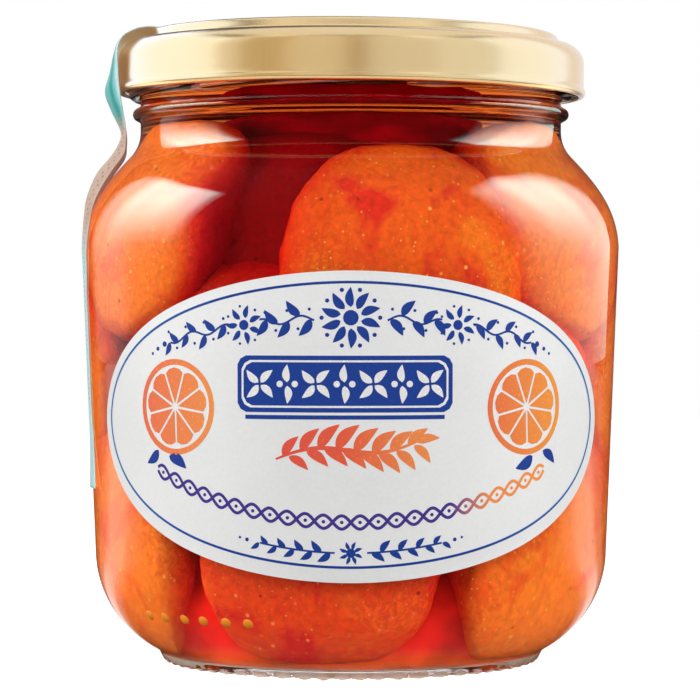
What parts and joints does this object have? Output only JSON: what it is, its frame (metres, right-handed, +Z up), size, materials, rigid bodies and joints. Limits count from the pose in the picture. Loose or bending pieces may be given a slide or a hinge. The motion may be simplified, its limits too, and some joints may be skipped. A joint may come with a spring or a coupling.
{
  "type": "jar of rum babas",
  "caption": "Closed glass jar of small rum babas in red syrup, with a gold twist-off lid, an oval paper label and a paper seal strip.",
  "frame": {"origin": "centre of the jar's base, on the surface it stands on", "axes": "+Z up along the jar's axis, -Y towards the middle of the label, +X to the right as the label is read"},
  "size_m": [0.084, 0.0838, 0.0979],
  "materials": {
    "clear_glass": "gloss",
    "gold_lacquered_tinplate": "satin",
    "soaked_cake": "satin",
    "label_paper": "matte",
    "seal_paper": "matte"
  },
  "bodies": {
    "root": {"glass_jar": "clear_glass", "lid": "gold_lacquered_tinplate", "babas": "soaked_cake", "label": "label_paper", "seal_strip": "seal_paper"}
  },
  "joints": []
}
